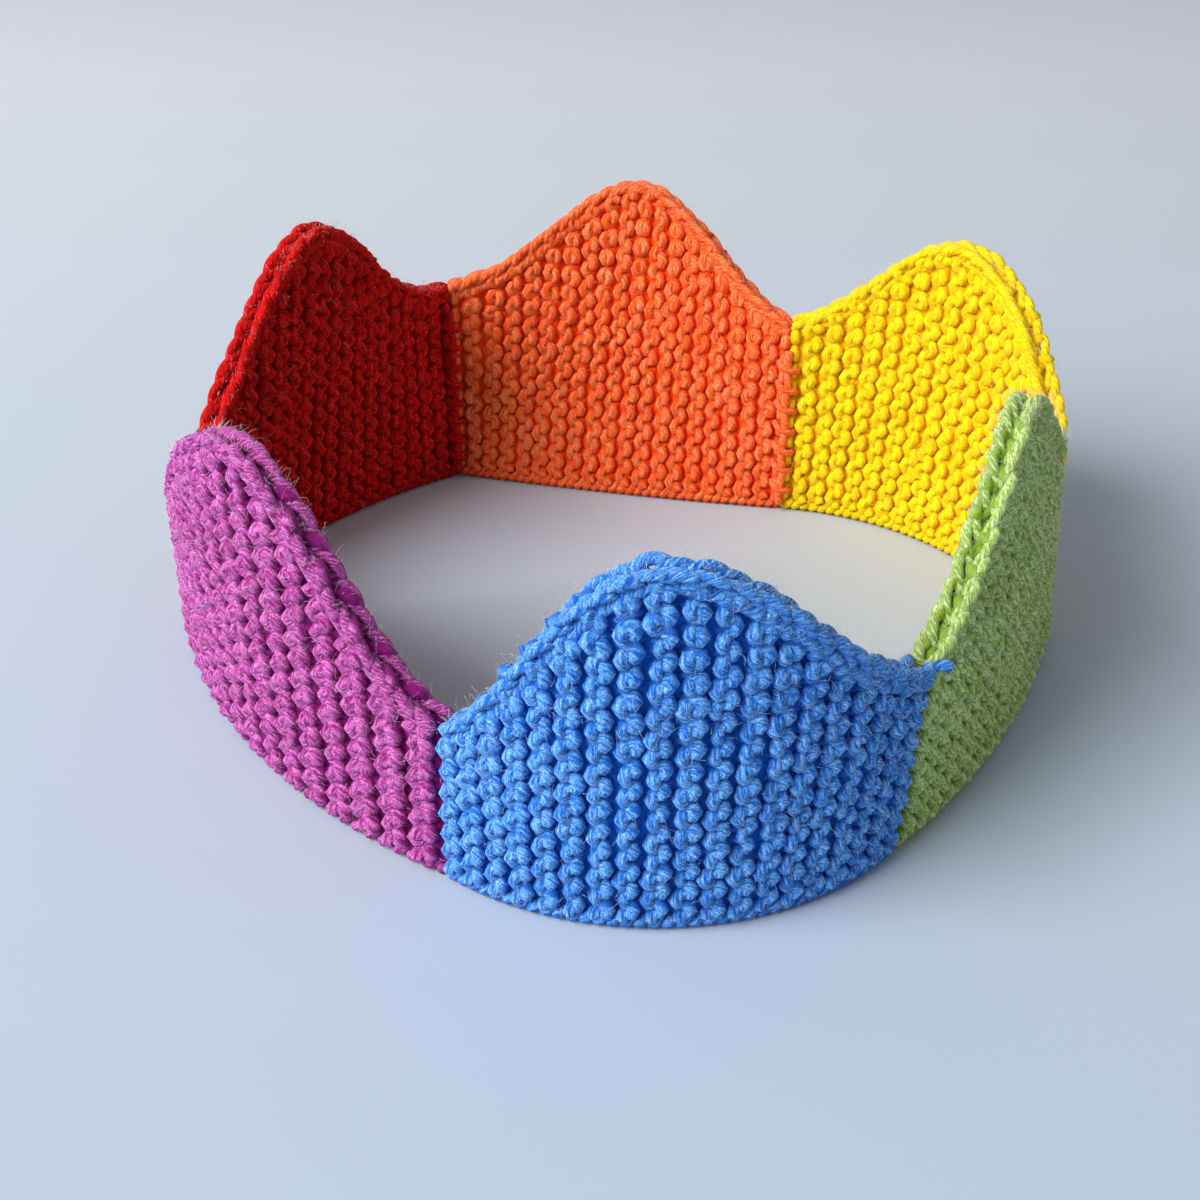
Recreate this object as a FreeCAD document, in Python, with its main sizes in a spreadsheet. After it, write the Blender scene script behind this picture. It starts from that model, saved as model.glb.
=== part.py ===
import FreeCAD, Part
import math
import os

from FreeCAD import Placement, Rotation, Vector

# A crown knitted in thick yarn: six panels in the colours of the rainbow, sewn side to side into a ring
# that stands on its own lower edge. Each panel is garter stitch knitted sideways, so its ridges stand
# upright on both faces, and each ridge gains or loses a stitch, which makes the pointed, rounded top.
# The ring is soft and stands as it was put down, so its seams aren't on a true circle.
# Millimetres. +X is to the right and +Y away from whoever looks at the blue front, and Z is up.

# Sizes that all panels share
FABRIC = {
    "fabric_thickness": 5.0,  # from the crests of one face to the crests of the other
    "groove_depth": 0.8,  # from a crest to the grooves beside it
    "rim_height": 4.2,  # the rolled chain of edge stitches along the top, square to the edge
    "rim_width": 6.2,
    "top_roundness": 0.6,  # 0 is a straight-sided point, 1 a smooth wave
    "tip_rounding": 0.1,  # how blunt the very tip is, 0 for a sharp corner
    "sewing_yarn": 1.8,  # diameter of the strand that runs up the inside of each seam
    "whip_yarn": 1.4,  # diameter of the small stitches over it
    "whip_pitch": 4.4,  # from one of those stitches to the next
    "whip_rise": 1.6,  # how much higher a stitch ends than it starts
    "sewing_gap": 0.2,  # the sewing yarn's clearance from the fabric
    "sewing_start": 2.0,  # height of the sewing yarn's lower end
}

# Each seam: its place on the table, its height, and how far it leans out for each millimetre up
SEAMS = {
    "purple_blue": {"right": -25.5, "back": -62.0, "height": 29.5, "lean": -0.03},
    "blue_green": {"right": 44.0, "back": -56.0, "height": 37.5, "lean": 0.06},
    "green_yellow": {"right": 83.5, "back": 7.5, "height": 43.5, "lean": -0.07},
    "yellow_orange": {"right": 38.0, "back": 61.5, "height": 41.5, "lean": 0.22},
    "orange_red": {"right": -36.5, "back": 79.0, "height": 46.0, "lean": 0.08},
    "red_purple": {"right": -83.5, "back": 14.5, "height": 29.5, "lean": -0.03},
}

# Each panel, anticlockwise from the front: the seams at its sides, the ridges across it, the height of
# its peak and its place as a share of the way across, how far the foot bows out between the seams, and how
# far the middle leans out for each millimetre up. The purple panel is knitted more loosely than the rest.
PANELS = {
    "blue": {
        "sides": ("purple_blue", "blue_green"), "ridges": 19,
        "peak": 65.0, "peak_place": 0.46, "bulge": 14.2, "lean": 0.05,
    },
    "green": {
        "sides": ("blue_green", "green_yellow"), "ridges": 19,
        "peak": 64.0, "peak_place": 0.51, "bulge": 4.4, "lean": -0.06,
    },
    "yellow": {
        "sides": ("green_yellow", "yellow_orange"), "ridges": 19,
        "peak": 64.0, "peak_place": 0.58, "bulge": 13.0, "lean": 0.09,
    },
    "orange": {
        "sides": ("yellow_orange", "orange_red"), "ridges": 19,
        "peak": 65.0, "peak_place": 0.52, "bulge": -1.6, "lean": 0.4,
    },
    "red": {
        "sides": ("orange_red", "red_purple"), "ridges": 19,
        "peak": 72.5, "peak_place": 0.57, "bulge": 7.6, "lean": -0.19,
    },
    "purple": {
        "sides": ("red_purple", "purple_blue"), "ridges": 16,
        "peak": 63.0, "peak_place": 0.58, "bulge": 9.5, "lean": 0.0,
    },
}

UP = Vector(0, 0, 1)
RIDGE_PARTS = (0, 0.15, 0.5, 0.85)  # where the flat facets of a ridge meet, as shares of its width
RIM_ANGLES = (15, 52.5, 90, 127.5, 165)  # corners of the rim's section, in degrees round its middle
BLEND_RIDGES = 2  # the ridges beside a seam over which a panel turns to meet its neighbour squarely
STRAND_SIDES = 6


def add_sheet(doc):
    """Writes every driving size into a spreadsheet, one named cell each."""
    sheet = doc.addObject("Spreadsheet::Sheet", "sizes")
    cells = dict(FABRIC)
    for seam, sizes in SEAMS.items():
        cells.update({f"{seam}_{size}": value for size, value in sizes.items()})
    for panel, sizes in PANELS.items():
        cells.update({f"{panel}_{size}": value for size, value in sizes.items() if size != "sides"})
    for row, (alias, value) in enumerate(cells.items(), start=1):
        sheet.set(f"A{row}", alias)
        sheet.set(f"B{row}", str(value))
        sheet.setAlias(f"B{row}", alias)
    return sheet


def seam_foot(seam):
    """The middle of a seam's lower end."""
    return Vector(size(f"{seam}_right"), size(f"{seam}_back"), 0)


def foot_line(panel):
    """The middle line of a panel's foot, an arc from seam to seam: a function that gives the point and
    the outward direction at any share of the way, and the arc's length."""
    start, end = (seam_foot(seam) for seam in PANELS[panel]["sides"])
    chord = end - start
    along = Vector(chord).normalize()
    outward = along.cross(UP)
    half_turn = 2 * math.atan2(2 * size(f"{panel}_bulge"), chord.Length)
    radius = chord.Length / (2 * math.sin(half_turn))
    centre = (start + end) / 2 - outward * radius * math.cos(half_turn)

    def at(share):
        turn = half_turn * (2 * share - 1)
        direction = outward * math.cos(turn) + along * math.sin(turn)
        return centre + direction * radius, direction

    return at, 2 * radius * half_turn


def seam_outward(seam):
    """The outward direction at a seam, halfway between those of its two panels."""
    total = Vector()
    for panel, sizes in PANELS.items():
        if seam in sizes["sides"]:
            total += foot_line(panel)[0](sizes["sides"].index(seam))[1]
    return total.normalize()


def blend(share, start, middle, end):
    """A smooth run through three values, at the two sides and the middle of a panel."""
    return (
        start * (1 - share) * (1 - 2 * share)
        + middle * 4 * share * (1 - share)
        + end * share * (2 * share - 1)
    )


def top_height(panel, share):
    """The height of the top edge, which climbs from each seam to the peak and is rounded at both."""
    left, right = PANELS[panel]["sides"]
    peak_place = size(f"{panel}_peak_place")
    slope_width = peak_place if share < peak_place else 1 - peak_place
    tip = size("tip_rounding")
    away = math.hypot((share - peak_place) / slope_width, tip) - tip
    up = 1 - away / (math.hypot(1, tip) - tip)
    wave = (1 - math.cos(math.pi * up)) / 2
    climb = (1 - size("top_roundness")) * up + size("top_roundness") * wave
    seam_height = size(f"{left}_height") * (1 - share) + size(f"{right}_height") * share
    return seam_height + (size(f"{panel}_peak") - seam_height) * climb


def stations(panel):
    """Upright lines across the panel, four to a ridge: the foot point, the outward direction, the lean,
    half the thickness, the height of the wall and that of the rim upon it."""
    at, length = foot_line(panel)
    left, right = PANELS[panel]["sides"]
    ridge_count = int(size(f"{panel}_ridges"))
    step = 1 / ridge_count
    crest = size("fabric_thickness") / 2
    places = [ridge + part for ridge in range(ridge_count) for part in RIDGE_PARTS] + [ridge_count]
    result = []
    for place in places:
        share = place / ridge_count
        foot, outward = at(share)
        for seam, distance in ((left, place), (right, ridge_count - place)):
            nearness = max(0, 1 - distance / BLEND_RIDGES)
            outward = outward * (1 - nearness) + seam_outward(seam) * nearness
        outward.normalize()
        lean = blend(share, size(f"{left}_lean"), size(f"{panel}_lean"), size(f"{right}_lean"))
        before, after = max(0, share - step), min(1, share + step)
        rise = top_height(panel, after) - top_height(panel, before)
        rim = size("rim_height") * math.hypot(1, rise / (after - before) / length)
        swell = math.sqrt(1 - (2 * (place % 1) - 1) ** 2)
        half = crest - size("groove_depth") * (1 - swell)
        result.append({
            "foot": foot, "outward": outward, "lean": lean, "half": half,
            "wall": top_height(panel, share) - rim, "rim": rim,
        })
    return result


def spot(station, offset, height):
    """The point at an offset outward from the middle of the wall, at a height on its slant."""
    return station["foot"] + station["outward"] * (offset + station["lean"] * height) + UP * height


def section(station):
    """The outline of the panel at one station: up the outer face, over the rolled rim, down the inner."""
    wall, half = station["wall"], station["half"]
    rim = []
    for angle in RIM_ANGLES:
        offset = size("rim_width") / 2 * math.cos(math.radians(angle))
        rim.append(spot(station, offset, wall + station["rim"] * math.sin(math.radians(angle))))
    outer = [spot(station, half, 0), spot(station, half, wall)]
    inner = [spot(station, -half, wall), spot(station, -half, 0)]
    return outer + rim + inner


def flat_face(points):
    return Part.Face(Part.makePolygon(points + points[:1]))


def panel_shape(panel):
    """One panel as a closed solid: flat facets from each station's outline to the next, with a flat foot
    and flat side edges."""
    sections = [section(station) for station in stations(panel)]
    faces = [flat_face(sections[0]), flat_face(sections[-1])]
    for near, far in zip(sections, sections[1:]):
        for this in range(len(near) - 1):
            faces.append(flat_face([near[this], near[this + 1], far[this + 1]]))
            faces.append(flat_face([near[this], far[this + 1], far[this]]))
    outer_foot = [outline[0] for outline in sections]
    inner_foot = [outline[-1] for outline in sections]
    faces.append(flat_face(outer_foot + inner_foot[::-1]))
    shell = Part.Shell(faces)
    shell.sewShape()
    solid = Part.Solid(shell)
    if solid.Volume < 0:
        solid.reverse()
    return solid


def seam_ridges(seam):
    """The stations on the last ridge of the panel before the seam and on the first ridge after it."""
    ridge_lines = len(RIDGE_PARTS)
    for panel, sizes in PANELS.items():
        if sizes["sides"][1] == seam:
            before = stations(panel)[-ridge_lines:-1]
        if sizes["sides"][0] == seam:
            after = stations(panel)[1:ridge_lines]
    return before, after


def sewing_line(seam, start_height, end_height):
    """The line on the inside that passes over the two ridges at a seam, from crest to crest and clear of
    both, at the height wanted over each."""
    before, after = seam_ridges(seam)
    near = [spot(station, -station["half"], start_height) for station in before]
    far = [spot(station, -station["half"], end_height) for station in after]
    start, end = near[len(near) // 2], far[len(far) // 2]
    inward = UP.cross(end - start).normalize()
    highest = max((point - start).dot(inward) for point in near + far)
    push = inward * (highest + size("whip_yarn") / 2 + size("sewing_gap"))
    return start + push, end + push


def strand_point(seam, height):
    """The middle of the sewing strand, over the groove between the two ridges at the seam."""
    start, end = sewing_line(seam, height, height)
    return (start + end) / 2


def add_rod(doc, name, start, end, diameter, shift):
    """A six-sided rod of yarn from point to point, with its diameter tied to a cell of the sheet."""
    rod = doc.addObject("Part::Prism", name)
    rod.Polygon = STRAND_SIDES
    rod.setExpression("Circumradius", f"sizes.{diameter} / 2")
    rod.Height = (end - start).Length
    rod.Placement = Placement(start + shift, Rotation(UP, end - start))
    return rod


def add_seam(doc, seam, shift):
    """The sewing yarn of one seam: a strand up the inside, with small stitches over it."""
    bottom = size("sewing_start")
    top = size(f"{seam}_height") - size("rim_height") - size("whip_rise")
    ends = strand_point(seam, bottom), strand_point(seam, top)
    rods = [add_rod(doc, f"strand_{seam}", *ends, "sewing_yarn", shift)]
    count = int((top - bottom) / size("whip_pitch"))
    first = (bottom + top - (count - 1) * size("whip_pitch")) / 2
    for number in range(count):
        middle = first + number * size("whip_pitch")
        stitch = sewing_line(seam, middle - size("whip_rise") / 2, middle + size("whip_rise") / 2)
        rods.append(add_rod(doc, f"stitch_{seam}_{number + 1}", *stitch, "whip_yarn", shift))
    seam_yarn = doc.addObject("Part::MultiFuse", f"seam_{seam}")
    seam_yarn.Shapes = rods
    seam_yarn.Label = f"seam_{seam}"
    return seam_yarn


def add_panel(doc, panel):
    feature = doc.addObject("Part::Feature", f"panel_{panel}")
    feature.Label = f"panel_{panel}"
    feature.Shape = panel_shape(panel)
    return feature


def centring_shift(features):
    """The move that brings the ring's middle, seen from above, over the origin."""
    boxes = [feature.Shape.optimalBoundingBox(False, False) for feature in features]
    middle_x = (min(box.XMin for box in boxes) + max(box.XMax for box in boxes)) / 2
    middle_y = (min(box.YMin for box in boxes) + max(box.YMax for box in boxes)) / 2
    return Vector(-middle_x, -middle_y, 0)


def check(doc, parts):
    """Stops with a message if anything in the document failed."""
    for item in doc.Objects:
        if {"Invalid", "Error"} & set(item.State):
            raise RuntimeError(f"{item.Label} failed: {item.State}")
    for item in parts:
        if item.Shape.isNull() or not item.Shape.isValid() or not item.Shape.Solids:
            raise RuntimeError(f"{item.Label} has no valid solid")


doc = FreeCAD.newDocument("knitted_crown")
sheet = add_sheet(doc)
doc.recompute()
size = sheet.get

panels = [add_panel(doc, panel) for panel in PANELS]
shift = centring_shift(panels)
for panel in panels:
    panel.Placement = Placement(shift, Rotation())
seams = [add_seam(doc, seam, shift) for seam in SEAMS]
doc.recompute()
check(doc, panels + seams)

os.makedirs("parts", exist_ok=True)
for part in panels + seams:
    part.Shape.exportStep(f"parts/{part.Label}.step")
    print(part.Label, "solids", len(part.Shape.Solids), "volume", round(part.Shape.Volume))
print("shift", round(shift.x, 2), round(shift.y, 2))
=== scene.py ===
# %% [markdown]
# A knitted rainbow crown. Six panels of garter stitch stand in a ring, each with a rounded peak. What the
# eye reads as knitting is one yarn, looped row after row, so this lesson works the yarn itself out as
# curves and gives it thickness. A bump map on a flat wall would be quicker, but it would look flat along
# every outline, and this crown is nearly all outline.

# %% Load the model that the yarn is built on
import math

import bpy
import numpy as np
from mathutils import Matrix, Vector


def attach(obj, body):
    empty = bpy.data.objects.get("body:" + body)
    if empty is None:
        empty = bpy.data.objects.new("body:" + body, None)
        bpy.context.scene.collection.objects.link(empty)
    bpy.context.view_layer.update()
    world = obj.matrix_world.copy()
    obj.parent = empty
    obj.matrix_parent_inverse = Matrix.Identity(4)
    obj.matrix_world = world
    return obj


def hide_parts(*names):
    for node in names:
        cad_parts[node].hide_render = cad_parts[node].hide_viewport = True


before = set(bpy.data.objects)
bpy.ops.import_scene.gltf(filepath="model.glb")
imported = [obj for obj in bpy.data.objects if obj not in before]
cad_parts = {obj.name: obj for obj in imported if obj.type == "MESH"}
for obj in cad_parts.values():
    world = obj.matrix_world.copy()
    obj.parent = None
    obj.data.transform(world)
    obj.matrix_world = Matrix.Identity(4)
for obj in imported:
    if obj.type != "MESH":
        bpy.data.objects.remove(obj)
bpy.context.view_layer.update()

MM = 0.001
print("nodes", len(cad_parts))

# %% [markdown]
# The camera looks down into the ring from the front, from a hand's reach away. Its place and its three
# small turns were fitted to the seams, peaks and lower edges of the crown in the photograph, with the
# picture taken as 1200 by 1200.

# %% Camera
CAMERA_PLACE = (-0.11, -249.2, 159.2)
CAMERA_TILT = 57.19
CAMERA_TURN = 0.473
CAMERA_LIFT = 1.481
LENS = 44.8

camera_data = bpy.data.cameras.new("camera")
camera_data.lens = LENS
camera_data.sensor_width = 36
camera_data.clip_start = 0.01
camera = bpy.data.objects.new("camera", camera_data)
bpy.context.scene.collection.objects.link(camera)
camera.matrix_world = (
    Matrix.Translation(Vector(CAMERA_PLACE) * MM)
    @ Matrix.Rotation(math.radians(CAMERA_TILT), 4, "X")
    @ Matrix.Rotation(math.radians(CAMERA_TURN), 4, "Y")
    @ Matrix.Rotation(math.radians(CAMERA_LIFT), 4, "X")
)
bpy.context.scene.camera = camera
print("camera", tuple(round(value, 3) for value in camera.location))

# %% [markdown]
# The ring is soft and stands as it was put down. So it isn't a true circle: each seam has its own place
# on the table, its own height and its own lean, and each panel bows between its two seams. These are the
# sizes of the solid model in millimetres, and the yarn below follows the same wall.

# %% Sizes of the ring
RING_MIDDLE = np.array([0.11, 8.34])
TOP_ROUNDNESS = 0.6
TIP_ROUNDING = 0.1
FABRIC_THICKNESS = 5.0
SEAM_BLEND = 2

SEAMS = {
    "purple_blue": {"right": -25.5, "back": -62.0, "height": 29.5, "lean": -0.03},
    "blue_green": {"right": 44.0, "back": -56.0, "height": 37.5, "lean": 0.06},
    "green_yellow": {"right": 83.5, "back": 7.5, "height": 43.5, "lean": -0.07},
    "yellow_orange": {"right": 38.0, "back": 61.5, "height": 41.5, "lean": 0.22},
    "orange_red": {"right": -36.5, "back": 79.0, "height": 46.0, "lean": 0.08},
    "red_purple": {"right": -83.5, "back": 14.5, "height": 29.5, "lean": -0.03},
}

PANELS = {
    "blue": {
        "sides": ("purple_blue", "blue_green"), "ridges": 19,
        "peak": 65.0, "peak_place": 0.46, "bulge": 14.2, "lean": 0.05,
    },
    "green": {
        "sides": ("blue_green", "green_yellow"), "ridges": 19,
        "peak": 64.0, "peak_place": 0.51, "bulge": 4.4, "lean": -0.06,
    },
    "yellow": {
        "sides": ("green_yellow", "yellow_orange"), "ridges": 19,
        "peak": 64.0, "peak_place": 0.58, "bulge": 13.0, "lean": 0.09,
    },
    "orange": {
        "sides": ("yellow_orange", "orange_red"), "ridges": 19,
        "peak": 65.0, "peak_place": 0.52, "bulge": -1.6, "lean": 0.4,
    },
    "red": {
        "sides": ("orange_red", "red_purple"), "ridges": 19,
        "peak": 72.5, "peak_place": 0.57, "bulge": 7.6, "lean": -0.19,
    },
    "purple": {
        "sides": ("red_purple", "purple_blue"), "ridges": 16,
        "peak": 63.0, "peak_place": 0.58, "bulge": 9.5, "lean": 0.0,
    },
}
print("panels", len(PANELS), "seams", len(SEAMS))

# %% [markdown]
# Everything knitted sits on a wall that is curved in plan and leans a different amount at each point. The
# clean way to handle that is one function from flat cloth to space: a share of the way across the panel,
# a height, and an offset outward from the middle of the cloth give a point. Every stitch is then drawn on
# flat cloth, and this one function bends it.


# %% The wall, as a function of two parameters and an offset
def foot_arc(panel, share):
    """The middle line of a panel's foot: an arc through both seams that bows out by the bulge. Gives the
    points and the outward directions at each share, and the arc's length."""
    start, end = (np.array([SEAMS[seam]["right"], SEAMS[seam]["back"]]) for seam in PANELS[panel]["sides"])
    chord = np.linalg.norm(end - start)
    along = (end - start) / chord
    outward = np.array([along[1], -along[0]])
    half_turn = 2 * math.atan2(2 * PANELS[panel]["bulge"], chord)
    radius = chord / (2 * math.sin(half_turn))
    centre = (start + end) / 2 - outward * radius * math.cos(half_turn)
    turn = half_turn * (2 * np.asarray(share, float) - 1)
    direction = np.multiply.outer(np.cos(turn), outward) + np.multiply.outer(np.sin(turn), along)
    return centre + direction * radius, direction, 2 * radius * half_turn


def unit(vectors):
    """The same vectors, one unit long."""
    return vectors / np.linalg.norm(vectors, axis=-1, keepdims=True)


def seam_outward(seam):
    """The outward direction at a seam: halfway between those of the two panels that meet there."""
    total = np.zeros(2)
    for panel, sizes in PANELS.items():
        if seam in sizes["sides"]:
            total += foot_arc(panel, sizes["sides"].index(seam))[1]
    return unit(total)


SEAM_OUTWARD = {seam: seam_outward(seam) for seam in SEAMS}


def top_height(panel, share):
    """The height of the top edge: a climb from each seam to the peak, part straight and part cosine wave,
    with its tip blunted."""
    sizes = PANELS[panel]
    left, right = (SEAMS[seam]["height"] for seam in sizes["sides"])
    peak_place = sizes["peak_place"]
    slope_width = np.where(share < peak_place, peak_place, 1 - peak_place)
    away = np.hypot((share - peak_place) / slope_width, TIP_ROUNDING) - TIP_ROUNDING
    up = 1 - away / (math.hypot(1, TIP_ROUNDING) - TIP_ROUNDING)
    climb = (1 - TOP_ROUNDNESS) * up + TOP_ROUNDNESS * (1 - np.cos(math.pi * up)) / 2
    seam_height = left * (1 - share) + right * share
    return seam_height + (sizes["peak"] - seam_height) * climb


def outward_at(panel, share):
    """The level outward direction of the wall, turned towards its neighbour's beside a seam."""
    direction = foot_arc(panel, share)[1]
    left, right = PANELS[panel]["sides"]
    ridges = PANELS[panel]["ridges"]
    for seam, distance in ((left, share * ridges), (right, (1 - share) * ridges)):
        nearness = np.clip(1 - distance / SEAM_BLEND, 0, 1)[..., None]
        direction = direction * (1 - nearness) + SEAM_OUTWARD[seam] * nearness
    return unit(direction)


def place(panel, share, height, offset):
    """Points of the wall in millimetres: the foot's point, plus the height straight up, plus outward by
    the offset and by the lean times the height. The lean is a parabola through its values at the left
    seam, the panel's middle and the right seam."""
    share, height, offset = (np.asarray(value, float) for value in (share, height, offset))
    share, height, offset = np.broadcast_arrays(share, height, offset)
    left, right = (SEAMS[seam]["lean"] for seam in PANELS[panel]["sides"])
    lean = left * (1 - share) * (1 - 2 * share)
    lean = lean + PANELS[panel]["lean"] * 4 * share * (1 - share)
    lean = lean + right * share * (2 * share - 1)
    foot = foot_arc(panel, share)[0]
    flat = foot + outward_at(panel, share) * (offset + lean * height)[..., None] - RING_MIDDLE
    return np.concatenate([flat, height[..., None]], axis=-1)


def outward_3d(panel, share):
    """The outward directions as level vectors in space."""
    direction = outward_at(panel, np.asarray(share, float))
    return np.concatenate([direction, np.zeros(direction.shape[:-1] + (1,))], axis=-1)


for panel in PANELS:
    print(panel, "is", round(foot_arc(panel, 0.5)[2], 1), "mm wide")

# %% [markdown]
# Yarn is a tube along a curve. Blender's curve objects could do this, but a few thousand stitches are
# faster as plain arrays, and arrays let each vertex carry a value for the material. Rings of points are
# placed round the curve, the rings are joined by four-sided faces, and a pole closes each end. Two
# things go with the mesh: a UV map with the turn round the yarn and the length along it, which the
# material twists into plies, and a relief value, from 0 deep in the cloth to 1 on its crests.


# %% From rings to meshes
RELIEF_START = 0.6


def skin(rings, relief):
    """Closed surfaces through rings of points, shaped (pieces, rings, points, 3). Each ring is joined to
    the next, and a pole in the middle of the first and last ring closes the ends."""
    pieces, count, sides = rings.shape[:3]
    poles = rings[:, [0, -1]].mean(axis=2)
    stride = count * sides + 2
    base = (np.arange(pieces) * stride)[:, None, None]
    ring = np.arange(count - 1)[None, :, None] * sides
    side = np.arange(sides)[None, None, :]
    near, far = base + ring + side, base + ring + (side + 1) % sides
    quads = np.stack([near, far, far + sides, near + sides], axis=-1).reshape(-1, 4)
    last = (count - 1) * sides
    corner, following = base[:, 0] + side[0], base[:, 0] + (side[0] + 1) % sides
    pole = base[:, 0] + np.zeros_like(side[0]) + count * sides
    bottom = np.stack([following, corner, pole], axis=-1).reshape(-1, 3)
    top = np.stack([corner + last, following + last, pole + 1], axis=-1).reshape(-1, 3)
    steps = np.linalg.norm(np.diff(rings[:, :, 0], axis=1), axis=-1)
    run = np.concatenate([np.zeros((pieces, 1)), np.cumsum(steps, axis=1)], axis=1)
    turn = np.broadcast_to(side / sides, (pieces, count - 1, sides))
    start = np.broadcast_to(run[:, :-1, None], turn.shape)
    end = np.broadcast_to(run[:, 1:, None], turn.shape)
    next_turn = turn + 1 / sides
    quad_uv = np.stack([turn, start, next_turn, start, next_turn, end, turn, end], axis=-1).reshape(-1, 2)
    pole_relief = relief[:, [0, -1]].mean(axis=2)
    return {
        "points": np.concatenate([rings.reshape(pieces, -1, 3), poles], axis=1).reshape(-1, 3),
        "relief": np.concatenate([relief.reshape(pieces, -1), pole_relief], axis=1).ravel(),
        "quads": quads,
        "fans": np.concatenate([bottom, top]),
        "uv": np.concatenate([quad_uv, np.zeros((len(bottom) * 6, 2))]),
    }


def yarn(paths, outward, offsets, radii, sides=8):
    """Tubes along paths shaped (pieces, points, 3). The rings are square to the path, and the outward
    direction keeps them from twisting. The offsets say how far the path is from the middle of the cloth.
    The relief is 0 up to RELIEF_START mm from that middle and 1 at the cloth's face."""
    tangent = unit(np.gradient(paths, axis=1))
    side = unit(np.cross(tangent, outward))
    lift = np.cross(side, tangent)
    angle = 2 * np.pi * np.arange(sides) / sides
    round_it = np.cos(angle)[:, None] * lift[..., None, :] + np.sin(angle)[:, None] * side[..., None, :]
    radii = np.broadcast_to(radii, paths.shape[:2])
    rings = paths[..., None, :] + radii[..., None, None] * round_it
    rise = radii[..., None] * (round_it * outward[..., None, :]).sum(axis=-1)
    depth = np.abs(np.broadcast_to(offsets, paths.shape[:2])[..., None] + rise)
    return skin(rings, np.clip((depth - RELIEF_START) / (FABRIC_THICKNESS / 2 - RELIEF_START), 0, 1))


def build(name, patches, material):
    """One object from several patches, in metres, with the yarn's UV map and relief values."""
    shift = np.cumsum([0] + [len(patch["points"]) for patch in patches[:-1]])
    points = np.concatenate([patch["points"] for patch in patches]) * MM
    corners = []
    totals = []
    for start, patch in zip(shift, patches):
        corners += [(patch["quads"] + start).ravel(), (patch["fans"] + start).ravel()]
        totals += [np.full(len(patch["quads"]), 4), np.full(len(patch["fans"]), 3)]
    corners, totals = np.concatenate(corners), np.concatenate(totals)
    flat_places = np.concatenate([patch["uv"] for patch in patches])
    relief = np.concatenate([patch["relief"] for patch in patches])
    mesh = bpy.data.meshes.new(name)
    mesh.vertices.add(len(points))
    mesh.vertices.foreach_set("co", points.astype(np.float32).ravel())
    mesh.loops.add(len(corners))
    mesh.loops.foreach_set("vertex_index", corners.astype(np.int32))
    mesh.polygons.add(len(totals))
    mesh.polygons.foreach_set("loop_start", (np.cumsum(totals) - totals).astype(np.int32))
    mesh.update(calc_edges=True)
    mesh.polygons.foreach_set("use_smooth", np.ones(len(totals), bool))
    uv_map = mesh.uv_layers.new(name="yarn")
    uv_map.uv.foreach_set("vector", flat_places.astype(np.float32).ravel())
    attribute = mesh.attributes.new("relief", "FLOAT", "POINT")
    attribute.data.foreach_set("value", relief.astype(np.float32))
    mesh.materials.append(material)
    piece = bpy.data.objects.new(name, mesh)
    bpy.context.scene.collection.objects.link(piece)
    print(name, int((totals - 2).sum()), "triangles")
    return piece


# %% [markdown]
# The yarn is plied acrylic in a medium weight. It scatters light among thousands of loose fibres, and from
# close by it has three marks: a pale bloom where single fibres catch the light, deep and very saturated
# colour down between the stitches, where light bounces from fibre to fibre, and fine slanted streaks where
# bundles of fibre are twisted together. Fine grain in a pale colour and a little sheen give the first; the
# pale specks on the crests are a painted highlight. The relief value mixes two colours for the second: a
# darker, more saturated groove colour deep in the cloth, which is painted shade and painted bounce light,
# and the crest colour on the crests. For the third, a wave for the plies and a stretched noise for the
# streaks wind round the UV map, as colour and as bump; as colour, the ply wave is painted shade down
# between the plies. Real fibres are finer than the grain, which is drawn as coarse as it needs to show.


# %% Colours and the yarn's material
def linear(hex_colour):
    """An sRGB hex colour as linear red, green, blue and alpha."""
    parts = [int(hex_colour[place:place + 2], 16) / 255 for place in (1, 3, 5)]
    return [part / 12.92 if part <= 0.04045 else ((part + 0.055) / 1.055) ** 2.4 for part in parts] + [1.0]


def add_node(tree, kind, settings=None, links=None):
    """Adds a node. Settings are its properties or the values of its inputs, and links are what each
    input is joined to."""
    node = tree.nodes.new(kind)
    for name, value in (settings or {}).items():
        if hasattr(node, str(name)):
            setattr(node, name, value)
        else:
            node.inputs[name].default_value = value
    for name, source in (links or {}).items():
        tree.links.new(source, node.inputs[name])
    return node


# Each yarn has three colours: the crest colour on its crests, a darker and more saturated groove colour that
# is painted shade deep in the cloth, and a pale bloom colour, which is the loose fibres' own colour and, as
# specks on the crests, a painted highlight.
COLOURS = {
    "blue": {"crest": "#66B0F0", "groove": "#0060C4", "bloom_and_glint": "#BCDCFF"},
    "green": {"crest": "#CDE39A", "groove": "#84A428", "bloom_and_glint": "#EEFAD2"},
    "yellow": {"crest": "#FFE000", "groove": "#FFC800", "bloom_and_glint": "#FFEE50"},
    "orange": {"crest": "#FF8448", "groove": "#FF4E00", "bloom_and_glint": "#FFB890"},
    "red": {"crest": "#DC0404", "groove": "#B00000", "bloom_and_glint": "#FF5048"},
    "purple": {"crest": "#CC66B6", "groove": "#86106C", "bloom_and_glint": "#F2AAE2"},
}
PLIES = 4
PLY_PITCH = 7.0
STREAKS_ROUND = 13
STREAK_LENGTH = 1.6
STREAK_CHANGE = 6.0
FIBRE_GRAIN = 0.3
SHADE_PATCH = 3.5
BUMP_HEIGHT = 0.45
SOFT_LIGHT_REACH = 0.5


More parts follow.
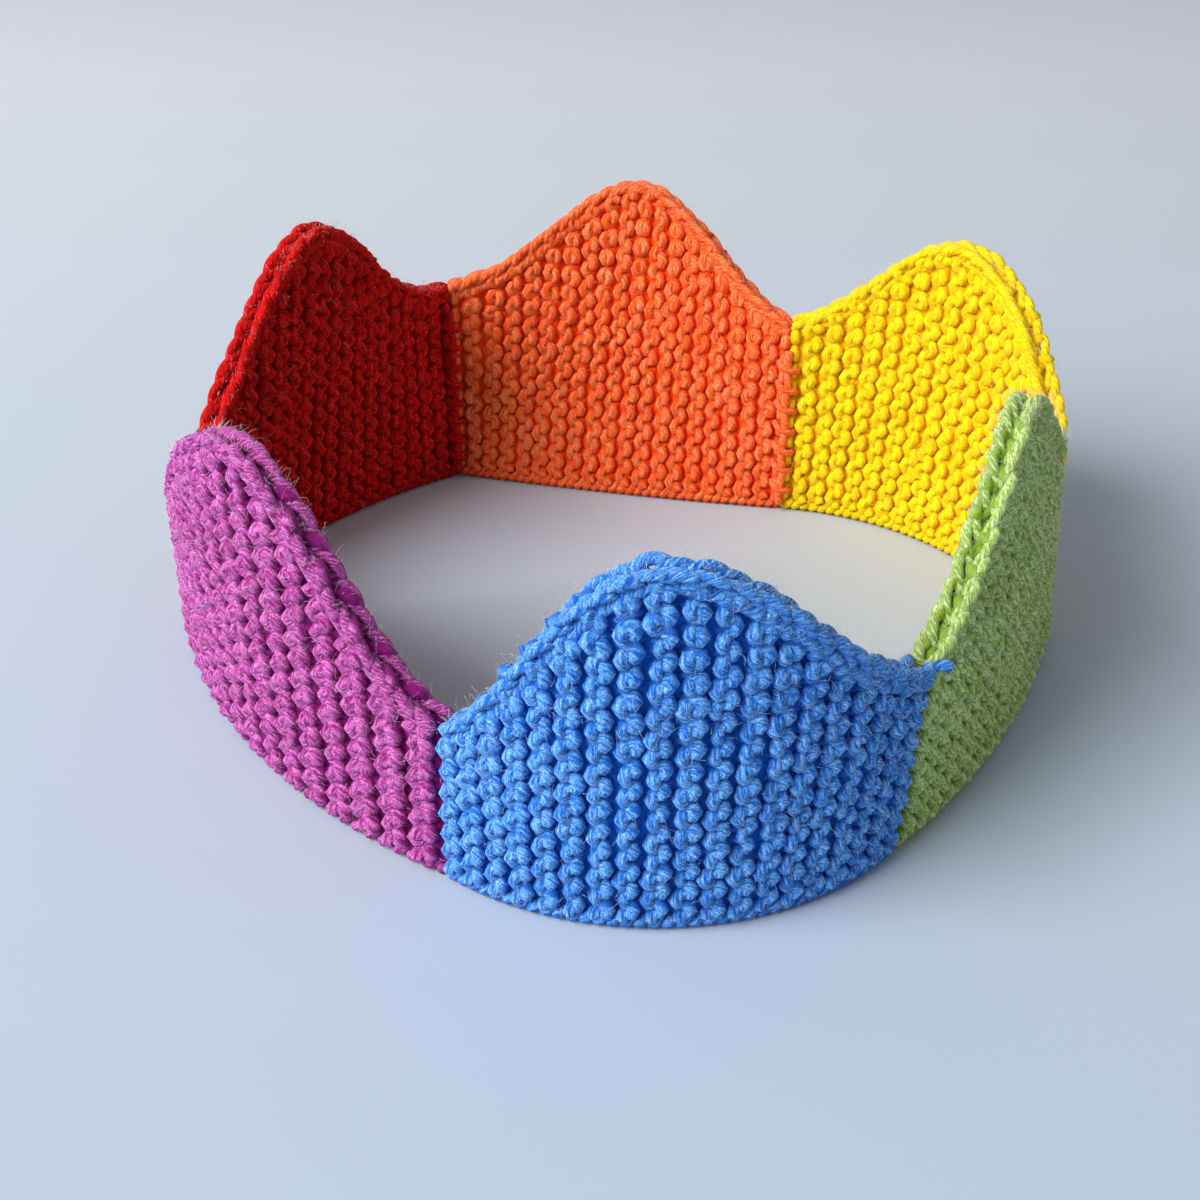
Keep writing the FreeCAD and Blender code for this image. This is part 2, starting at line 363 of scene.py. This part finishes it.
def yarn_material(name, colours):
    """Plied acrylic yarn. The plies wind round the yarn once every PLY_PITCH mm, and fine streaks, the
    bundles of fibre, follow them: STREAKS_ROUND of them round the yarn, each about STREAK_LENGTH mm. The
    pattern of streaks changes within STREAK_CHANGE mm, so that no two stitches look the same."""
    material = bpy.data.materials.new(name)
    material.use_nodes = True
    tree = material.node_tree
    shader = tree.nodes["Principled BSDF"]
    where = add_node(tree, "ShaderNodeTexCoord")
    uv = add_node(tree, "ShaderNodeUVMap", {"uv_map": "yarn"})
    parts = add_node(tree, "ShaderNodeSeparateXYZ", links={"Vector": uv.outputs["UV"]})
    twist = add_node(tree, "ShaderNodeMath", {"operation": "MULTIPLY_ADD", 1: 1 / PLY_PITCH},
                     {0: parts.outputs["Y"], 2: parts.outputs["X"]})
    angle = add_node(tree, "ShaderNodeMath", {"operation": "MULTIPLY", 1: 2 * math.pi * PLIES},
                     {0: twist.outputs[0]})
    wave = add_node(tree, "ShaderNodeMath", {"operation": "COSINE"}, {0: angle.outputs[0]})
    ply = add_node(tree, "ShaderNodeMapRange", {"From Min": -1.0, "From Max": 1.0},
                   {"Value": wave.outputs[0]})
    round_it = add_node(tree, "ShaderNodeMath", {"operation": "MULTIPLY", 1: STREAKS_ROUND},
                        {0: twist.outputs[0]})
    along = add_node(tree, "ShaderNodeMath", {"operation": "MULTIPLY", 1: 1 / STREAK_LENGTH},
                     {0: parts.outputs["Y"]})
    change = add_node(tree, "ShaderNodeTexNoise", {"Scale": 1 / (STREAK_CHANGE * MM), "Detail": 0.0},
                      {"Vector": where.outputs["Object"]})
    streak_place = add_node(tree, "ShaderNodeCombineXYZ", links={
        "X": round_it.outputs[0], "Y": along.outputs[0], "Z": change.outputs["Fac"],
    })
    streak = add_node(tree, "ShaderNodeTexNoise", {"Scale": 1.0, "Detail": 2.0, "Roughness": 0.6},
                      {"Vector": streak_place.outputs[0]})
    grain = add_node(tree, "ShaderNodeTexNoise", {"Scale": 1 / (FIBRE_GRAIN * MM), "Detail": 2.0},
                     {"Vector": where.outputs["Object"]})
    patch = add_node(tree, "ShaderNodeTexNoise", {"Scale": 1 / (SHADE_PATCH * MM), "Detail": 1.0},
                     {"Vector": where.outputs["Object"]})
    # Painted shade: where the relief is low, deep in the cloth, and down between the plies, the colour turns
    # to the darker groove colour; the streaks shift it too.
    relief = add_node(tree, "ShaderNodeAttribute", {"attribute_name": "relief"})
    depth = add_node(tree, "ShaderNodeMapRange",
                     {"From Min": 0.15, "From Max": 0.9, "interpolation_type": "SMOOTHSTEP"},
                     {"Value": relief.outputs["Fac"]})
    ply_light = add_node(tree, "ShaderNodeMapRange", {"To Min": 0.7, "To Max": 1.0},
                         {"Value": ply.outputs[0]})
    streak_light = add_node(tree, "ShaderNodeMapRange", {"From Min": 0.4, "From Max": 0.6, "To Min": 0.05},
                            {"Value": streak.outputs["Fac"]})
    fibre_light = add_node(tree, "ShaderNodeMath", {"operation": "MULTIPLY"},
                           {0: streak_light.outputs[0], 1: ply_light.outputs[0]})
    lit = add_node(tree, "ShaderNodeMath", {"operation": "MULTIPLY"},
                   {0: depth.outputs[0], 1: fibre_light.outputs[0]})
    base = add_node(tree, "ShaderNodeMix",
                    {"data_type": "RGBA", 6: linear(colours["groove"]), 7: linear(colours["crest"])},
                    {0: lit.outputs[0]})
    # Painted highlight: pale specks of the bloom colour, from the fine grain, laid over the crests where
    # single fibres catch the light.
    painted_glint = add_node(tree, "ShaderNodeMapRange", {"From Min": 0.5, "From Max": 0.68, "To Max": 0.85},
                     {"Value": grain.outputs["Fac"]})
    painted_glint_on_crests = add_node(tree, "ShaderNodeMath", {"operation": "MULTIPLY"},
                         {0: painted_glint.outputs[0], 1: lit.outputs[0]})
    fibres = add_node(tree, "ShaderNodeMix", {"data_type": "RGBA", 7: linear(colours["bloom_and_glint"])},
                      {0: painted_glint_on_crests.outputs[0], 6: base.outputs[2]})
    shade = add_node(tree, "ShaderNodeMapRange",
                     {"From Min": 0.3, "From Max": 0.7, "To Min": 0.88, "To Max": 1.1},
                     {"Value": patch.outputs["Fac"]})
    colour = add_node(tree, "ShaderNodeHueSaturation",
                      links={"Color": fibres.outputs[2], "Value": shade.outputs[0]})
    tree.links.new(colour.outputs[0], shader.inputs["Base Color"])
    fuzz = add_node(tree, "ShaderNodeMath", {"operation": "MULTIPLY_ADD", 1: 0.6},
                    {0: grain.outputs["Fac"], 2: streak.outputs["Fac"]})
    height = add_node(tree, "ShaderNodeMath", {"operation": "MULTIPLY_ADD", 1: 0.35},
                      {0: ply.outputs[0], 2: fuzz.outputs[0]})
    bump = add_node(tree, "ShaderNodeBump", {"Strength": 0.9, "Distance": BUMP_HEIGHT * MM},
                    {"Height": height.outputs[0]})
    tree.links.new(bump.outputs[0], shader.inputs["Normal"])
    shader.inputs["Roughness"].default_value = 0.85
    shader.inputs["Specular IOR Level"].default_value = 0.15
    shader.inputs["Sheen Weight"].default_value = 0.2
    shader.inputs["Sheen Roughness"].default_value = 0.5
    shader.inputs["Sheen Tint"].default_value = linear(colours["bloom_and_glint"])
    shader.inputs["Subsurface Weight"].default_value = 0.5
    shader.inputs["Subsurface Radius"].default_value = (1.0, 1.0, 1.0)
    shader.inputs["Subsurface Scale"].default_value = SOFT_LIGHT_REACH * MM
    return material


def fibre_material(name, colours):
    """Single loose acrylic fibres: thin enough for light to pass, so they look paler than the yarn."""
    material = bpy.data.materials.new(name)
    material.use_nodes = True
    shader = material.node_tree.nodes["Principled BSDF"]
    shader.inputs["Base Color"].default_value = linear(colours["bloom_and_glint"])
    shader.inputs["Roughness"].default_value = 0.6
    shader.inputs["Subsurface Weight"].default_value = 1.0
    shader.inputs["Subsurface Radius"].default_value = (1.0, 1.0, 1.0)
    shader.inputs["Subsurface Scale"].default_value = SOFT_LIGHT_REACH * MM
    return material


YARN = {colour: yarn_material(f"{colour}_plied_yarn", hexes) for colour, hexes in COLOURS.items()}
HALO = {colour: fibre_material(f"{colour}_loose_fibre", hexes) for colour, hexes in COLOURS.items()}
print("materials", sorted(material.name for material in bpy.data.materials))

# %% [markdown]
# Garter stitch is the same stitch in every row, worked back and forth. Here the rows stand upright. Each
# row is a yarn that winds from side to side as it climbs, one loop to a stitch. The feet of a row's loops
# lie on one face of the cloth and their heads on the other, and the next row does the reverse, so heads
# and feet meet on the same face and make a ridge there, with a deep groove beside it. Three plain waves
# give the loop: across the rows a cosine, through the cloth the same cosine turned over in every second
# row, and along the row a steady climb with a double-speed sine that makes each loop wider than its neck.

# %% Sizes of the stitches
STITCH = 3.9
POINTS_PER_STITCH = 12
ROWS_PER_RIDGE = 2
ROW_START = 2.3
RIM = 1.7
LOOP_REACH = 1.0
LOOP_DEPTH = 1.65
LOOP_NECK = 0.12
SEAM_MARGIN = 0.4
SEAM_CLEARANCE = 0.9
UNEVEN = 0.24
UNEVEN_WIDTH = UNEVEN / 3
UNEVEN_PLACE = UNEVEN / 1.5
UNEVEN_DEPTH = UNEVEN / 2.5
UNEVEN_GIRTH = UNEVEN / 4
YARN_RADIUS = {"blue": 1.1, "green": 1.1, "yellow": 1.1, "orange": 1.1, "red": 1.1, "purple": 1.3}
SEEDS = {colour: number for number, colour in enumerate(PANELS, start=11)}
print("rows", {panel: sizes["ridges"] * ROWS_PER_RIDGE for panel, sizes in PANELS.items()})


# %% Rows of stitches
def edge_depth(panel, share, thickness):
    """How far below the top edge a band of that thickness, square to the slope, reaches straight down."""
    step = 0.02
    rise = top_height(panel, share + step) - top_height(panel, share - step)
    return thickness * np.hypot(1, rise / (2 * step * foot_arc(panel, 0.5)[2]))


def knit_row(panel, number, rng):
    """The yarn of one row: a path of loops from the foot of the panel to just under its rim. The number of
    stitches is whole, so what is left over stretches the row, most of all at its top. The loops of the
    first and last row stop short of the seam."""
    width = foot_arc(panel, 0.5)[2]
    rows = PANELS[panel]["ridges"] * ROWS_PER_RIDGE
    radius = YARN_RADIUS[panel]
    margin = width / rows / 2 + SEAM_MARGIN
    spacing = (width - 2 * margin) / (rows - 1)
    middle = (margin + number * spacing) / width
    height = float(top_height(panel, middle) - edge_depth(panel, middle, RIM)) - ROW_START
    stitches = max(3, round(height / STITCH))
    count = stitches * POINTS_PER_STITCH + 1
    turn = 2 * np.pi * np.arange(count) / POINTS_PER_STITCH
    climb = turn / (2 * np.pi)
    knots = np.arange(-1, stitches + 2)
    uneven = [np.interp(climb, knots, rng.normal(0, 1, len(knots))) for _ in range(4)]
    misfit = height - stitches * STITCH
    up = ROW_START + STITCH * climb + misfit * (climb / stitches) ** 3
    up = up + LOOP_NECK * STITCH * np.sin(2 * turn) + UNEVEN * uneven[0]
    across = -LOOP_REACH * spacing * np.cos(turn) * (1 + UNEVEN_WIDTH * uneven[1]) + UNEVEN_PLACE * uneven[2]
    room = margin - SEAM_CLEARANCE * radius
    across = np.clip(across, -room if number == 0 else -np.inf, room if number == rows - 1 else np.inf)
    face = 1 if number % 2 else -1
    offset = face * LOOP_DEPTH * np.cos(turn) * (1 + UNEVEN_DEPTH * uneven[3])
    share = middle + across / width
    path = place(panel, share, up, offset)[None]
    radii = (radius * (1 + UNEVEN_GIRTH * uneven[1]))[None]
    return yarn(path, outward_3d(panel, share)[None], offset[None], radii)


def knit_panel(panel):
    """All rows of one panel."""
    rng = np.random.default_rng(SEEDS[panel])
    rows = PANELS[panel]["ridges"] * ROWS_PER_RIDGE
    return build(f"knit_{panel}", [knit_row(panel, number, rng) for number in range(rows)], YARN[panel])


knits = {panel: knit_panel(panel) for panel in PANELS}

# %% [markdown]
# Between the loops of real knitting the eye meets more yarn, deep in shadow. A thin sheet in the middle
# of each panel does that here. It is also the cloth in the plain sense, a sheet of one panel's width and
# height, with the stitches as pieces on it.


# %% The cloth behind the stitches
CLOTH_THICKNESS = 1.2
CLOTH_ACROSS = 60
CLOTH_UP = 9
CLOTH_FOOT = 0.5
CLOTH_TOP = 1.8
SLOPE_LIMIT = 0.03


def cloth_sheet(panel):
    """A closed slab along the wall: at each share across, a ring that goes up the outer face to the top
    edge and down the inner one. Beside a seam the slope is read a little way in, because it is worked out
    from a point on either side."""
    share = np.linspace(0, 1, CLOTH_ACROSS)
    inside = np.clip(share, SLOPE_LIMIT, 1 - SLOPE_LIMIT)
    top = top_height(panel, share) - edge_depth(panel, inside, CLOTH_TOP)
    up = np.concatenate([np.linspace(0, 1, CLOTH_UP), np.linspace(1, 0, CLOTH_UP)])
    half = np.concatenate([np.full(CLOTH_UP, 0.5), np.full(CLOTH_UP, -0.5)]) * CLOTH_THICKNESS
    height = CLOTH_FOOT + up[None, :] * (top[:, None] - CLOTH_FOOT)
    rings = place(panel, np.broadcast_to(share[:, None], height.shape), height, half[None, :])
    # Painted shade: the relief is 0 all over the sheet, so it takes the darker groove colour throughout.
    return build(f"cloth_{panel}", [skin(rings[None], np.zeros((1,) + height.shape))], YARN[panel])


cloths = {panel: cloth_sheet(panel) for panel in PANELS}

# %% [markdown]
# Along the top the edge stitches lie over like a plait: a chain of slanted pairs, one pair to every 4.5 mm
# of the edge, about as wide as the cloth is thick. Each half of a pair is a short plump length of yarn that
# comes up from inside the chain, bows out over the edge and dives under the next one. Two plain strands
# run below the pairs, so that yarn and not daylight shows between them.

# %% The chain along the top edge
CHAIN_RADIUS = 0.88
CHAIN_POINTS = 13
CHAIN_LINK = 4.5
CHAIN_START = -0.25
CHAIN_OVERLAP = 1.8
CHAIN_INNER = 0.3
CHAIN_SPREAD = 1.65
CHAIN_TURN = 0.76
CHAIN_DIVE = 1.37275
CHAIN_TAPER = 0.3
CHAIN_OFFSET = 2.2
CHAIN_YARN = 1.05
LOOSE_PLACE = 0.05
LOOSE_SWING = 0.07
LOOSE_BOW = 0.14
LOOSE_GIRTH = 0.05
EDGE_END = 0.004
FILLING_RADIUS = 1.25
FILLING_DEPTH = 3.1
FILLING_SPREAD = 0.9
FILLING_OFFSET = 2.6
FILLING_END = 0.006


def edge_frame(panel, share):
    """The top edge at each share: its points, the level outward direction, and the direction square to
    that and to the edge, which points away from the cloth."""
    before = place(panel, share - EDGE_END, top_height(panel, share - EDGE_END), 0)
    after = place(panel, share + EDGE_END, top_height(panel, share + EDGE_END), 0)
    along = unit(after - before)
    outward = outward_3d(panel, share)
    away = unit(np.cross(outward, along))
    away = away * np.sign(away[..., 2:])
    return (before + after) / 2, outward, away


def edge_shares(panel, distances):
    """The shares across a panel that lie at these parts, from 0 to 1, of the length of its top edge, and
    that length."""
    share = np.linspace(0, 1, 401)
    steps = np.linalg.norm(np.diff(place(panel, share, top_height(panel, share), 0), axis=0), axis=1)
    run = np.concatenate([[0], np.cumsum(steps)])
    return np.interp(distances, run / run[-1], share), run[-1]


def top_chain(panel):
    """Both halves of every pair, as lengths of yarn along the top edge, and two filling strands under them
    that close the chain. Sideways each length swings out and back as a sine, and it dives at both ends as
    a parabola. A yarn thicker than CHAIN_YARN makes the lengths thicker by its square root."""
    rng = np.random.default_rng(SEEDS[panel] + 100)
    links = round(edge_shares(panel, 0.5)[1] / CHAIN_LINK)
    part = np.linspace(0, 1, CHAIN_POINTS)
    from_middle = 2 * part - 1
    first = np.arange(links)[:, None]
    girth = (YARN_RADIUS[panel] / CHAIN_YARN) ** 0.5
    patches = []
    for face in (1, -1):
        loose = rng.normal(0, 1, (4, links, 1))
        distance = (first + CHAIN_START + CHAIN_OVERLAP * part + LOOSE_PLACE * loose[0]) / links
        share = edge_shares(panel, np.clip(distance, EDGE_END, 1 - EDGE_END))[0]
        swing = CHAIN_INNER + CHAIN_SPREAD * np.sin(np.pi * CHAIN_TURN * part)
        across = face * swing * (1 + LOOSE_SWING * loose[1])
        bow = -CHAIN_RADIUS - CHAIN_DIVE * from_middle**2 + LOOSE_BOW * loose[2]
        point, outward, away = edge_frame(panel, share)
        path = point + outward * across[..., None] + away * bow[..., None]
        taper = (1 - CHAIN_TAPER * from_middle**6) * (1 + LOOSE_GIRTH * loose[3])
        patches.append(yarn(path, away, CHAIN_OFFSET, CHAIN_RADIUS * taper * girth))
    share = edge_shares(panel, np.linspace(FILLING_END, 1 - FILLING_END, links * 4))[0]
    point, outward, away = edge_frame(panel, share)
    for across in (FILLING_SPREAD, -FILLING_SPREAD):
        path = (point + outward * across - away * FILLING_DEPTH)[None]
        patches.append(yarn(path, away[None], FILLING_OFFSET, FILLING_RADIUS))
    return build(f"top_chain_{panel}", patches, YARN[panel])


chains = {panel: top_chain(panel) for panel in PANELS}

# %% [markdown]
# The lower edge is where the rows turn round, and it shows as a thin twisted cord on the table. Two
# strands that wind round each other, one turn to a ridge, read as that cord.

# %% The cord along the lower edge
CORD_RADIUS = 0.95
CORD_SWAY = 1.25
CORD_RISE = 0.55
CORD_OFFSET = 1.7
CORD_END = 0.006


def foot_cord(panel):
    """Two strands half a turn apart: sideways a cosine, up and down a sine."""
    ridges = PANELS[panel]["ridges"]
    share = np.linspace(CORD_END, 1 - CORD_END, ridges * 10 + 1)
    phase = 2 * np.pi * ridges * share + np.array([[0], [np.pi]])
    height = CORD_RADIUS + CORD_RISE + CORD_RISE * np.sin(phase)
    shares = np.broadcast_to(share, phase.shape)
    path = place(panel, shares, height, CORD_SWAY * np.cos(phase))
    upward = np.broadcast_to([0.0, 0.0, 1.0], path.shape)
    return build(f"foot_cord_{panel}", [yarn(path, upward, CORD_OFFSET, CORD_RADIUS)], YARN[panel])


cords = {panel: foot_cord(panel) for panel in PANELS}

# %% [markdown]
# The panels are sewn together on the inside. A strand of one neighbour's yarn runs up each seam and small
# slanted stitches pass over it from the ridge on one side to the ridge on the other. These take the place
# of the plain rods of the solid model.

# %% Sewing yarn
SEWING_RADIUS = 0.9
WHIP_RADIUS = 0.7
WHIP_PITCH = 4.4
WHIP_RISE = 1.6
WHIP_REACH = 2.2
WHIP_OUT = 3.6
WHIP_DIVE = 2.4
SEWING_START = 2.0
SEWING_STOP = 5.8
SEWING_OUT = 2.9
SEWING_OFFSET = 2.0
SEWING_SWAY = 0.25
SWAY_WAVES = 3.5
SEWING_DRIFT = 0.2
DRIFT_WAVES = 2.3
WHIP_LOOSE = 0.15
SEAM_YARN = {
    "purple_blue": "purple", "blue_green": "blue", "green_yellow": "yellow",
    "yellow_orange": "orange", "orange_red": "red", "red_purple": "red",
}


def seam_points(seam, across, height, offset):
    """Points beside a seam: across runs along the wall, to the next panel's side when above 0."""
    before = next(panel for panel, sizes in PANELS.items() if sizes["sides"][1] == seam)
    outward = SEAM_OUTWARD[seam]
    along = np.array([-outward[1], outward[0], 0])
    share = np.ones_like(height)
    return place(before, share, height, offset) + np.multiply.outer(across, along)


def sewing(seam):
    """The strand up the inside of a seam, which wavers a little, and the stitches over it. A stitch stands
    WHIP_OUT inside the cloth's middle and dives into it at both ends."""
    rng = np.random.default_rng(len(seam) * 7)
    top = SEAMS[seam]["height"] - SEWING_STOP
    part = np.linspace(0, 1, 25)[None]
    sway = SEWING_SWAY * np.sin(2 * np.pi * SWAY_WAVES * part)
    depth = -SEWING_OUT + SEWING_DRIFT * np.cos(2 * np.pi * DRIFT_WAVES * part)
    strand = seam_points(seam, sway, SEWING_START + part * (top - SEWING_START), depth)
    inward = -np.append(SEAM_OUTWARD[seam], 0)
    patches = [yarn(strand, np.broadcast_to(inward, strand.shape), SEWING_OFFSET, SEWING_RADIUS)]
    count = int((top - SEWING_START) / WHIP_PITCH)
    middle = (SEWING_START + top - (count - 1) * WHIP_PITCH) / 2 + WHIP_PITCH * np.arange(count)[:, None]
    part = np.linspace(-1, 1, 9)[None]
    height = middle + part * WHIP_RISE / 2 + rng.normal(0, WHIP_LOOSE, (count, 1))
    across = WHIP_REACH * part + 0 * height
    depth = -WHIP_OUT + WHIP_DIVE * part**4 + 0 * height
    stitches = seam_points(seam, across, height, depth)
    upward = np.broadcast_to([0.0, 0.0, 1.0], stitches.shape)
    patches.append(yarn(stitches, upward, SEWING_OFFSET, WHIP_RADIUS))
    return build(f"sewing_{seam}", patches, YARN[SEAM_YARN[seam]])


sewn = {seam: sewing(seam) for seam in SEAMS}

# %% [markdown]
# Where the blue and green panels meet, a short end of blue yarn is left over from the sewing and sticks out
# at the top of the seam. It is one more tube in the blue yarn.

# %% The end of yarn at the top of the blue and green seam
END_RADIUS = 0.95
END_BELOW_TOP = 1.5
END_OUT = 0.8
END_RUN = np.array([3.6, -0.4, 0.6])
END_ARCH = np.array([0.0, 0.0, 0.5])


def yarn_end():
    """A short end that was left after sewing: it comes out of the seam, runs to the right and arches up a
    little on the way."""
    part = np.linspace(0, 1, 9)[None, :, None]
    height = SEAMS["blue_green"]["height"] - END_BELOW_TOP
    start = seam_points("blue_green", np.zeros(1), np.array([height]), np.array([END_OUT]))
    path = start + part * END_RUN + np.sin(np.pi * part) * END_ARCH
    upward = np.broadcast_to([0.0, 0.0, 1.0], path.shape)
    return build("yarn_end", [yarn(path, upward, CHAIN_OFFSET, END_RADIUS)], YARN["blue"])


loose_end = yarn_end()

# %% [markdown]
# The last mark of soft yarn is its halo: single fibres that stand off the surface and blur every edge.
# Hair particles would be the usual way, but a mesh keeps them in the exported model. Each fibre is a
# three-sided thread of a few faces, curved at random from a seeded generator. About a third of them stand
# on the top edge, where they show best against the table. They have the paler material.

# %% Loose fibres
FIBRES = 1900
FIBRE_RADIUS = 0.022
FIBRE_LENGTH = (0.7, 2.3)
EDGE_SHARE = 0.35
UPPER_SHARE = 0.4
FIBRE_END = 0.01
FIBRE_BELOW_EDGE = (0.2, 1.5)
FIBRE_EDGE_REACH = 2.6
FIBRE_UPPER = (0.6, 1.0)
FIBRE_FOOT = (0.6, 1.0)
FIBRE_START = 2.2
FIBRE_SPREAD = 0.75
FIBRE_CURL = 0.45


def loose_fibres(panel):
    """Fibres that start on the crests of both faces and along the top edge. Each is its start, plus its
    own lead times the part along it, plus its curl times that part squared."""
    rng = np.random.default_rng(SEEDS[panel] + 200)
    share = rng.uniform(FIBRE_END, 1 - FIBRE_END, FIBRES)
    on_edge = rng.random(FIBRES) < EDGE_SHARE
    face = rng.choice([-1.0, 1.0], FIBRES)
    top = top_height(panel, share)
    edge_height = top - rng.uniform(*FIBRE_BELOW_EDGE, FIBRES)
    face_height = rng.uniform(*FIBRE_UPPER, FIBRES) * (top - 2)
    height = np.where(on_edge, edge_height, face_height)
    high = on_edge | (rng.random(FIBRES) < UPPER_SHARE)
    height = np.where(high, height, rng.uniform(*FIBRE_FOOT, FIBRES) + height * rng.random(FIBRES))
    offset = face * np.where(on_edge, rng.uniform(0, FIBRE_EDGE_REACH, FIBRES), FIBRE_START)
    start = place(panel, share, height, offset)
    outward = outward_3d(panel, share)
    lead = outward * face[:, None] + rng.normal(0, FIBRE_SPREAD, (FIBRES, 3))
    lead[:, 2] += np.where(on_edge, 1.0, 0.0)
    lead = unit(lead)
    curl = unit(np.cross(lead, rng.normal(0, 1, (FIBRES, 3))))
    length = rng.uniform(*FIBRE_LENGTH, FIBRES)[:, None, None]
    part = np.linspace(0, 1, 4)[None, :, None]
    path = start[:, None] + length * (lead[:, None] * part + curl[:, None] * FIBRE_CURL * part**2)
    path[..., 2] = np.maximum(path[..., 2], 0.1)
    guide = np.broadcast_to(unit(np.cross(lead, curl))[:, None], path.shape)
    threads = yarn(path, guide, FABRIC_THICKNESS / 2, FIBRE_RADIUS, sides=3)
    return build(f"fibres_{panel}", [threads], HALO[panel])


fibres = {panel: loose_fibres(panel) for panel in PANELS}

# %% [markdown]
# Now each piece is tied to the model. The crown is one soft body, so all of it rides on the root. The
# stitches take the place of the solid panels and the sewing that of the plain seams.

# %% Tie the pieces to the model
for panel in PANELS:
    on_cloth = [knits[panel], chains[panel], cords[panel], fibres[panel]]
    for piece in on_cloth + [cloths[panel]]:
        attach(piece, "root")
    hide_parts(f"panel_{panel}")
for seam, piece in sewn.items():
    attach(piece, "root")
    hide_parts(f"seam_{seam}")
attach(loose_end, "root")

# %% [markdown]
# The crown stands on a smooth pale table by a window. A wide plane in a cool off-white is both table and
# background. One large soft lamp from the left gives the light side and the shaded side, and an even pale
# world keeps the shadows open.

# %% Table and light
FLOOR_SIZE = 12.0
LAMP_PLACE = (-1.5, -0.86, 1.36)
LAMP_SIZE = 1.5
LAMP_POWER = 76.0


def table_material():
    """A pale, cool and dull board, darker and bluer near the viewer and paler and warmer far away: a painted
    fall-off of the light across it.
    """
    material = bpy.data.materials.new("pale_board_painted_falloff")
    material.use_nodes = True
    tree = material.node_tree
    shader = tree.nodes["Principled BSDF"]
    where = add_node(tree, "ShaderNodeTexCoord")
    parts = add_node(tree, "ShaderNodeSeparateXYZ", links={"Vector": where.outputs["Object"]})
    far = add_node(tree, "ShaderNodeMapRange", {"From Min": -0.12, "From Max": 0.5},
                   {"Value": parts.outputs["Y"]})
    # Painted light: the board runs from a darker, bluer colour near the viewer to a paler, warmer one far
    # away, as the light falls off across it.
    light_falloff = add_node(tree, "ShaderNodeMix",
                    {"data_type": "RGBA", 6: linear("#AEBBCB"), 7: linear("#CFD4D6")},
                    {0: far.outputs[0]})
    tree.links.new(light_falloff.outputs[2], shader.inputs["Base Color"])
    shader.inputs["Roughness"].default_value = 0.6
    shader.inputs["Specular IOR Level"].default_value = 0.2
    return material


half = FLOOR_SIZE / 2
floor_corners = [(-half, -half, 0), (half, -half, 0), (half, half, 0), (-half, half, 0)]
floor_mesh = bpy.data.meshes.new("table")
floor_mesh.from_pydata(floor_corners, [], [(0, 1, 2, 3)])
floor = bpy.data.objects.new("table", floor_mesh)
bpy.context.scene.collection.objects.link(floor)
floor.data.materials.append(table_material())

lamp_data = bpy.data.lights.new("window", "AREA")
lamp_data.shape = "RECTANGLE"
lamp_data.size = LAMP_SIZE
lamp_data.size_y = LAMP_SIZE
lamp_data.energy = LAMP_POWER
lamp = bpy.data.objects.new("window", lamp_data)
bpy.context.scene.collection.objects.link(lamp)
lamp.location = LAMP_PLACE
lamp.rotation_euler = (Vector((0, 0, 0.03)) - lamp.location).to_track_quat("-Z", "Y").to_euler()

world = bpy.data.worlds.new("room")
bpy.context.scene.world = world
world.use_nodes = True
sky = world.node_tree.nodes["Background"]
sky.inputs["Color"].default_value = linear("#E6EAF2")
sky.inputs["Strength"].default_value = 0.44

bpy.context.scene.view_settings.view_transform = "Standard"
print("lamp", round(lamp_data.energy), "watts, world", round(sky.inputs["Strength"].default_value, 2))
